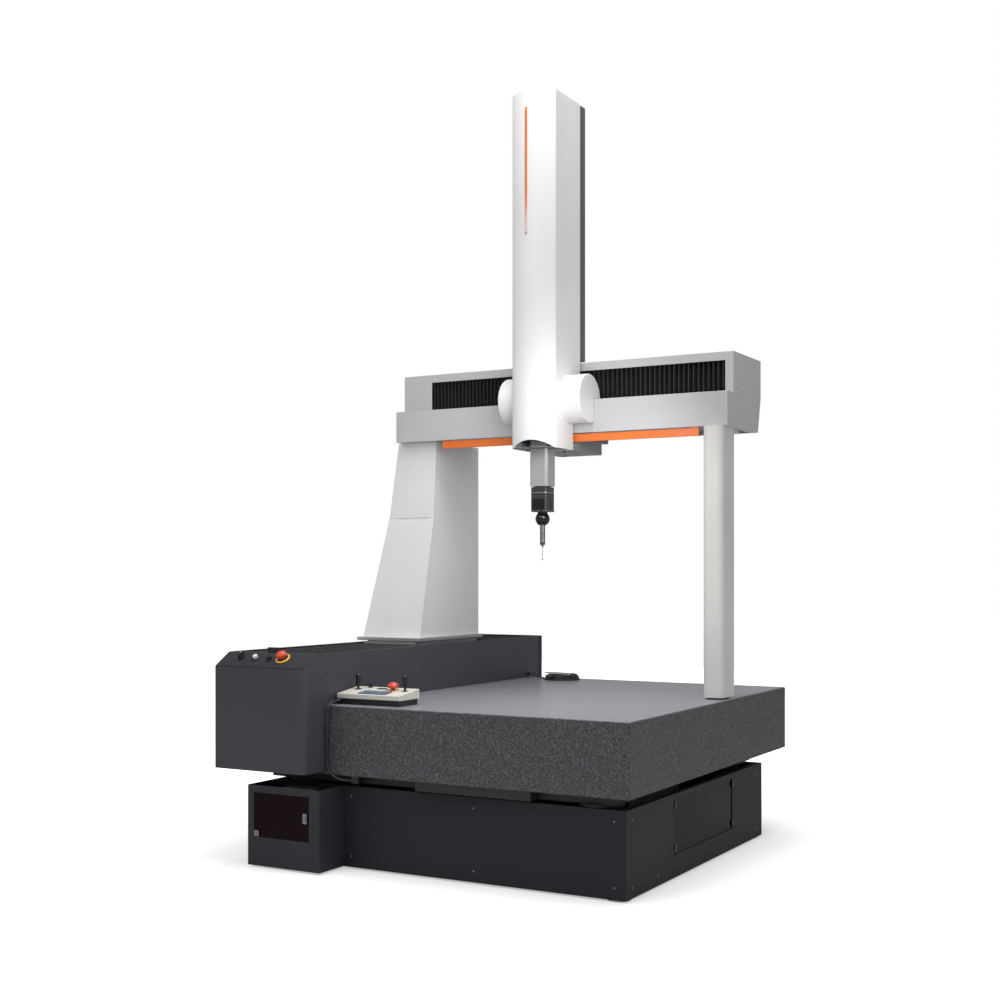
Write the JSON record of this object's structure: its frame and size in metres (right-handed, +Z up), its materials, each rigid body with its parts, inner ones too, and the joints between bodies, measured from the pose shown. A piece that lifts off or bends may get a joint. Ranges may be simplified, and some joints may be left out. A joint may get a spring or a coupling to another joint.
{
  "type": "coordinate measuring machine",
  "caption": "Bridge-type coordinate measuring machine with granite table, moving bridge, ram, indexing touch probe, stand and joystick pendant.",
  "frame": {"origin": "on the floor, under the middle of the machine", "axes": "+Z up, +X to the operator's right along the beam, +Y to the back"},
  "size_m": [1.466, 1.651, 2.695],
  "materials": {
    "dark_paint": "textured matt powder coat",
    "light_paint": "satin powder coat",
    "grey_paint": "satin powder coat",
    "orange_paint": "satin paint",
    "granite": "lapped",
    "steel_frame": "matt paint",
    "bright_steel": "ground",
    "aluminium": "anodised satin",
    "cast_aluminium": "machined",
    "ceramic_ram": "hard anodised satin",
    "tinted_glass": "polished tinted",
    "black_rubber": "matt",
    "bellows_cloth": "coated cloth",
    "black_plastic": "fine texture",
    "gloss_black": "polished",
    "light_plastic": "fine texture",
    "red_plastic": "moulded",
    "cable_sheath": "matt",
    "grey_case": "matt powder coat",
    "brass": "turned"
  },
  "bodies": {
    "base": {"levelling_feet": "bright_steel", "stand_frame": "steel_frame", "stand_covers": "dark_paint", "service_box": "dark_paint", "tinted_windows": "tinted_glass", "air_filters": "grey_case", "motion_controller": "grey_case", "air_springs": "black_rubber", "carrier_beams": "steel_frame", "granite_table": "granite", "y_guide_bar": "granite", "housing_inner_cover": "dark_paint", "housing_outer_covers": "dark_paint", "control_panel": "dark_paint", "switch_bezels": "black_plastic", "y_bellows_front": "bellows_cloth", "y_bellows_rear": "bellows_cloth", "pendant_base": "black_plastic", "pendant_cover": "light_plastic", "pendant_cable": "cable_sheath", "sensor_coil": "cable_sheath", "sensor_lead": "cable_sheath", "cable_fittings": "black_plastic"},
    "bridge": {"y_carriage": "cast_aluminium", "leg_base": "aluminium", "left_leg_column": "cast_aluminium", "left_leg_cover": "light_paint", "right_leg": "light_paint", "right_air_pad": "black_plastic", "beam_bar": "cast_aluminium", "beam_front_cover": "grey_paint", "beam_top_cover": "grey_paint", "beam_end_caps": "grey_paint", "guard_strip": "orange_paint", "x_bellows_left": "bellows_cloth", "x_bellows_right": "bellows_cloth"},
    "carriage": {"x_carriage": "cast_aluminium", "under_box": "grey_paint", "z_front_cover": "light_paint", "z_rear_cover": "light_paint", "z_rear_duct": "black_plastic", "hub_covers": "light_paint", "ram_guide": "cast_aluminium", "counterbalance": "bright_steel", "drive_motors": "grey_case"},
    "ram": {"ram": "ceramic_ram", "probe_head": "black_plastic"},
    "ball": {"head_ball": "gloss_black"},
    "probe": {"touch_probe": "black_plastic", "stylus": "bright_steel"},
    "selector": {"selector_knob": "black_plastic"},
    "start": {"start_button": "light_plastic"},
    "reset": {"reset_button": "black_plastic"},
    "stop": {"emergency_stop": "red_plastic"},
    "left_ring": {"left_joystick_ring": "brass"},
    "right_ring": {"right_joystick_ring": "brass"},
    "left_stick": {"left_joystick": "black_plastic"},
    "right_stick": {"right_joystick": "black_plastic"},
    "small_stop": {"pendant_stop": "red_plastic"},
    "speed": {"speed_knob": "black_plastic"}
  },
  "joints": [
    {"name": "bridge_slide", "type": "slide", "parent": "base", "child": "bridge", "axis": [0, 1, 0], "range_m": [-0.475, 0.23], "deforming": ["y_bellows_front", "y_bellows_rear"]},
    {"name": "carriage_slide", "type": "slide", "parent": "bridge", "child": "carriage", "axis": [1, 0, 0], "range_m": [-0.325, 0.38], "deforming": ["x_bellows_left", "x_bellows_right"]},
    {"name": "ram_slide", "type": "slide", "parent": "carriage", "child": "ram", "axis": [0, 0, 1], "range_m": [-0.48, 0.125]},
    {"name": "head_turn", "type": "hinge", "parent": "ram", "child": "ball", "pos_m": [0.0591, 0.0321, 1.1735], "axis": [0, 0, 1], "range_deg": [-180, 180]},
    {"name": "head_tilt", "type": "hinge", "parent": "ball", "child": "probe", "pos_m": [0.0591, 0.0321, 1.1735], "axis": [1, 0, 0], "range_deg": [0, 105]},
    {"name": "selector_turn", "type": "hinge", "parent": "base", "child": "selector", "pos_m": [-0.652, -0.78344, 0.69386], "axis": [0, -0.5281, 0.8492], "range_deg": [-60, 60]},
    {"name": "start_push", "type": "slide", "parent": "base", "child": "start", "axis": [0, 0.5281, -0.8492], "range_m": [0, 0.003], "stiffness_N_per_m": 300, "springref_m": -0.002},
    {"name": "reset_push", "type": "slide", "parent": "base", "child": "reset", "axis": [0, 0.5281, -0.8492], "range_m": [0, 0.003], "stiffness_N_per_m": 300, "springref_m": -0.002},
    {"name": "stop_push", "type": "slide", "parent": "base", "child": "stop", "axis": [0, 0.5281, -0.8492], "range_m": [0, 0.005], "stiffness_N_per_m": 400, "springref_m": -0.002},
    {"name": "left_stick_tilt", "type": "hinge", "parent": "base", "child": "left_ring", "pos_m": [-0.324, -0.575, 0.5685], "axis": [1, 0, 0], "range_deg": [-16, 16], "stiffness_Nm_per_rad": 0.5},
    {"name": "left_stick_lean", "type": "hinge", "parent": "left_ring", "child": "left_stick", "pos_m": [-0.324, -0.575, 0.5685], "axis": [0, 1, 0], "range_deg": [-16, 16], "stiffness_Nm_per_rad": 0.5},
    {"name": "right_stick_tilt", "type": "hinge", "parent": "base", "child": "right_ring", "pos_m": [-0.136, -0.575, 0.5685], "axis": [1, 0, 0], "range_deg": [-16, 16], "stiffness_Nm_per_rad": 0.5},
    {"name": "right_stick_lean", "type": "hinge", "parent": "right_ring", "child": "right_stick", "pos_m": [-0.136, -0.575, 0.5685], "axis": [0, 1, 0], "range_deg": [-16, 16], "stiffness_Nm_per_rad": 0.5},
    {"name": "small_stop_push", "type": "slide", "parent": "base", "child": "small_stop", "axis": [0, 0.1322, -0.9912], "range_m": [0, 0.004], "stiffness_N_per_m": 400, "springref_m": -0.002},
    {"name": "speed_turn", "type": "hinge", "parent": "base", "child": "speed", "pos_m": [-0.288, -0.553, 0.5906], "axis": [0, -0.1322, 0.9912], "range_deg": [-135, 135]}
  ]
}
